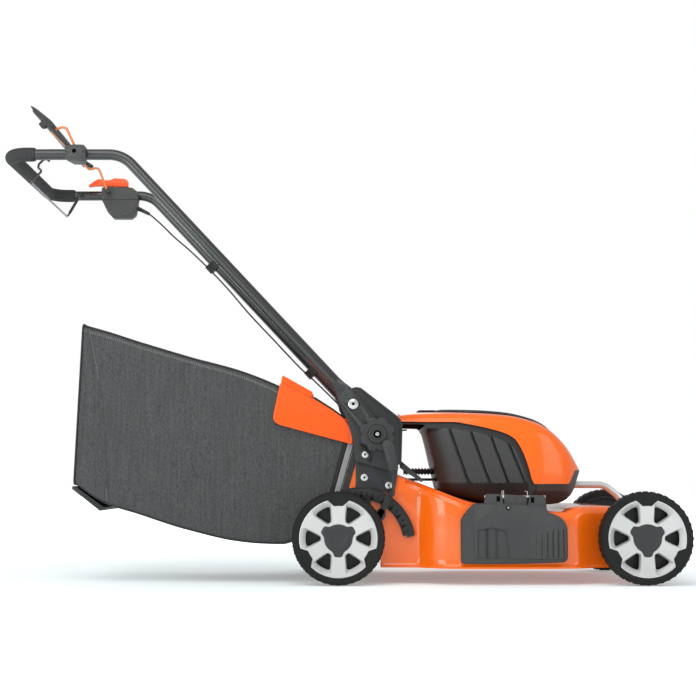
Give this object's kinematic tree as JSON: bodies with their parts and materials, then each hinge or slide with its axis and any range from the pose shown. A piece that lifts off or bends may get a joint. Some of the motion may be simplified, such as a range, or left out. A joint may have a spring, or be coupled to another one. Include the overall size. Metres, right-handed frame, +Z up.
{
  "type": "cordless lawn mower",
  "caption": "Walk-behind cordless lawn mower: pressed deck, spoked wheels, cowled electric motor, rear grass bag, side discharge flap and folding U-shaped handle with bail levers.",
  "frame": {"origin": "on the ground, under the centre of the bounding box", "axes": "+X forward, +Y to the operator's left, +Z up"},
  "size_m": [1.4998, 0.54, 1.056],
  "materials": {
    "deck_paint": "glossy orange powder coat",
    "hood_plastic": "satin to glossy orange",
    "orange_wire": "orange coated wire",
    "housing_plastic": "fine grain, dark grey",
    "cap_plastic": "fine grain, grey",
    "black_plastic": "satin black",
    "rim_plastic": "silver-grey satin",
    "tyre_rubber": "matte black",
    "shield_rubber": "matte black",
    "grip_foam": "matte foam",
    "cable_rubber": "satin black sheath",
    "tube_paint": "dark grey powder coat",
    "plate_paint": "black coated steel",
    "bright_steel": "zinc plated",
    "dark_steel": "black coated steel",
    "bare_aluminium": "bright satin",
    "bag_cloth": "woven dark grey mesh"
  },
  "bodies": {
    "chassis": {"deck": "deck_paint", "motor_housing": "housing_plastic", "top_hood": "hood_plastic", "battery_bay": "black_plastic", "motor_can": "bright_steel", "controller": "black_plastic", "front_carry_tube": "bare_aluminium", "front_axle_cover": "black_plastic", "mount_plate_right": "plate_paint", "mount_plate_left": "plate_paint", "bracket_right": "cap_plastic", "bracket_left": "cap_plastic", "quadrant": "black_plastic", "drive_gearbox": "black_plastic", "control_cable_lower": "cable_rubber", "rear_flap_pin": "bright_steel", "side_flap_hinge": "cap_plastic"},
    "rear_crank": {"rear_axle": "dark_steel", "height_lever": "cap_plastic"},
    "front_crank": {"front_axle": "dark_steel"},
    "rear_right_wheel": {"rear_right_tyre": "tyre_rubber", "rear_right_rim": "rim_plastic", "rear_right_hub_cap": "cap_plastic"},
    "rear_left_wheel": {"rear_left_tyre": "tyre_rubber", "rear_left_rim": "rim_plastic", "rear_left_hub_cap": "cap_plastic"},
    "front_right_wheel": {"front_right_tyre": "tyre_rubber", "front_right_rim": "rim_plastic", "front_right_hub_cap": "cap_plastic"},
    "front_left_wheel": {"front_left_tyre": "tyre_rubber", "front_left_rim": "rim_plastic", "front_left_hub_cap": "cap_plastic"},
    "cutter": {"motor_shaft": "bright_steel", "blade_adapter": "dark_steel", "blade": "dark_steel", "blade_bolt": "bright_steel"},
    "lid": {"battery_lid": "black_plastic"},
    "battery": {"battery_pack": "housing_plastic"},
    "bag": {"bag_fabric": "bag_cloth", "bag_frame": "black_plastic", "bag_rail": "black_plastic"},
    "rear_cover": {"rear_flap": "hood_plastic"},
    "discharge_cover": {"side_flap": "cap_plastic"},
    "tail_shield": {"trailing_shield": "shield_rubber"},
    "handle": {"handle_tube": "tube_paint", "foam_grip": "grip_foam", "arm_end_right": "tube_paint", "arm_end_left": "tube_paint", "bail_housing": "housing_plastic", "control_box": "housing_plastic", "control_cable": "cable_rubber", "cable_clip_upper": "black_plastic", "cable_clip_lower": "black_plastic"},
    "knob_right": {"star_knob_right": "cap_plastic"},
    "knob_left": {"star_knob_left": "cap_plastic"},
    "brake_lever": {"brake_bail": "orange_wire"},
    "drive_lever": {"drive_bail": "black_plastic"},
    "wire_lever": {"wire_bail": "dark_steel"},
    "speed_control": {"speed_lever": "hood_plastic"},
    "button": {"power_button": "hood_plastic"}
  },
  "joints": [
    {"name": "rear_crank_turn", "type": "hinge", "parent": "chassis", "child": "rear_crank", "pos_m": [0.04, 0, 0.088], "axis": [0, 1, 0], "range_deg": [-28, 28]},
    {"name": "front_crank_turn", "type": "hinge", "parent": "chassis", "child": "front_crank", "pos_m": [0.696, 0, 0.088], "axis": [0, 1, 0], "range_deg": [-28, 28]},
    {"name": "rear_right_roll", "type": "hinge", "parent": "rear_crank", "child": "rear_right_wheel", "pos_m": [-0.006, 0, 0.1], "axis": [0, 1, 0], "continuous": true},
    {"name": "rear_left_roll", "type": "hinge", "parent": "rear_crank", "child": "rear_left_wheel", "pos_m": [-0.006, 0, 0.1], "axis": [0, 1, 0], "continuous": true},
    {"name": "front_right_roll", "type": "hinge", "parent": "front_crank", "child": "front_right_wheel", "pos_m": [0.65, 0, 0.1], "axis": [0, 1, 0], "continuous": true},
    {"name": "front_left_roll", "type": "hinge", "parent": "front_crank", "child": "front_left_wheel", "pos_m": [0.65, 0, 0.1], "axis": [0, 1, 0], "continuous": true},
    {"name": "blade_spin", "type": "hinge", "parent": "chassis", "child": "cutter", "pos_m": [0.34, 0, 0.1], "axis": [0, 0, 1], "continuous": true},
    {"name": "lid_hinge", "type": "hinge", "parent": "chassis", "child": "lid", "pos_m": [0.47, 0, 0.3438], "axis": [0, 1, 0], "range_deg": [0, 75]},
    {"name": "battery_eject", "type": "slide", "parent": "chassis", "child": "battery", "axis": [0, 0, 1], "range_m": [0, 0.01]},
    {"name": "bag_pull", "type": "slide", "parent": "chassis", "child": "bag", "axis": [-1, 0, 0], "range_m": [0, 0.3]},
    {"name": "rear_flap_hinge", "type": "hinge", "parent": "chassis", "child": "rear_cover", "pos_m": [0.035, 0, 0.352], "axis": [0, 1, 0], "range_deg": [0, 60]},
    {"name": "side_flap_turn", "type": "hinge", "parent": "chassis", "child": "discharge_cover", "pos_m": [0.371, -0.249, 0.188], "axis": [-1, 0, 0], "range_deg": [0, 70]},
    {"name": "shield_hinge", "type": "hinge", "parent": "chassis", "child": "tail_shield", "pos_m": [0.005, 0, 0.099], "axis": [0, 1, 0], "range_deg": [0, 70]},
    {"name": "handle_fold", "type": "hinge", "parent": "chassis", "child": "handle", "pos_m": [0.0776, 0, 0.3221], "axis": [0, 1, 0], "range_deg": [0, 125]},
    {"name": "knob_right_turn", "type": "hinge", "parent": "handle", "child": "knob_right", "pos_m": [0.0776, 0, 0.3221], "axis": [0, -1, 0], "continuous": true},
    {"name": "knob_left_turn", "type": "hinge", "parent": "handle", "child": "knob_left", "pos_m": [0.0776, 0, 0.3221], "axis": [0, 1, 0], "continuous": true},
    {"name": "brake_squeeze", "type": "hinge", "parent": "handle", "child": "brake_lever", "pos_m": [-0.585, 0, 0.941], "axis": [0, -1, 0], "range_deg": [0, 36], "stiffness_Nm_per_rad": 0.6, "springref_deg": -22.92},
    {"name": "drive_squeeze", "type": "hinge", "parent": "handle", "child": "drive_lever", "pos_m": [-0.585, 0, 0.941], "axis": [0, -1, 0], "range_deg": [0, 36], "stiffness_Nm_per_rad": 1.2, "springref_deg": -34.38},
    {"name": "wire_lift", "type": "hinge", "parent": "handle", "child": "wire_lever", "pos_m": [-0.6572, 0, 0.9366], "axis": [0, 1, 0], "range_deg": [0, 42], "stiffness_Nm_per_rad": 0.3, "springref_deg": -17.19},
    {"name": "speed_turn", "type": "hinge", "parent": "handle", "child": "speed_control", "pos_m": [-0.572, 0.222, 0.955], "axis": [0, 0, -1], "range_deg": [0, 25]},
    {"name": "button_press", "type": "slide", "parent": "handle", "child": "button", "axis": [0, 0, -1], "range_m": [0, 0.002], "stiffness_N_per_m": 800, "springref_m": -0.0005}
  ],
  "couplings": [
    {"joint": "front_crank_turn", "follows": "rear_crank_turn", "ratio": 1}
  ]
}
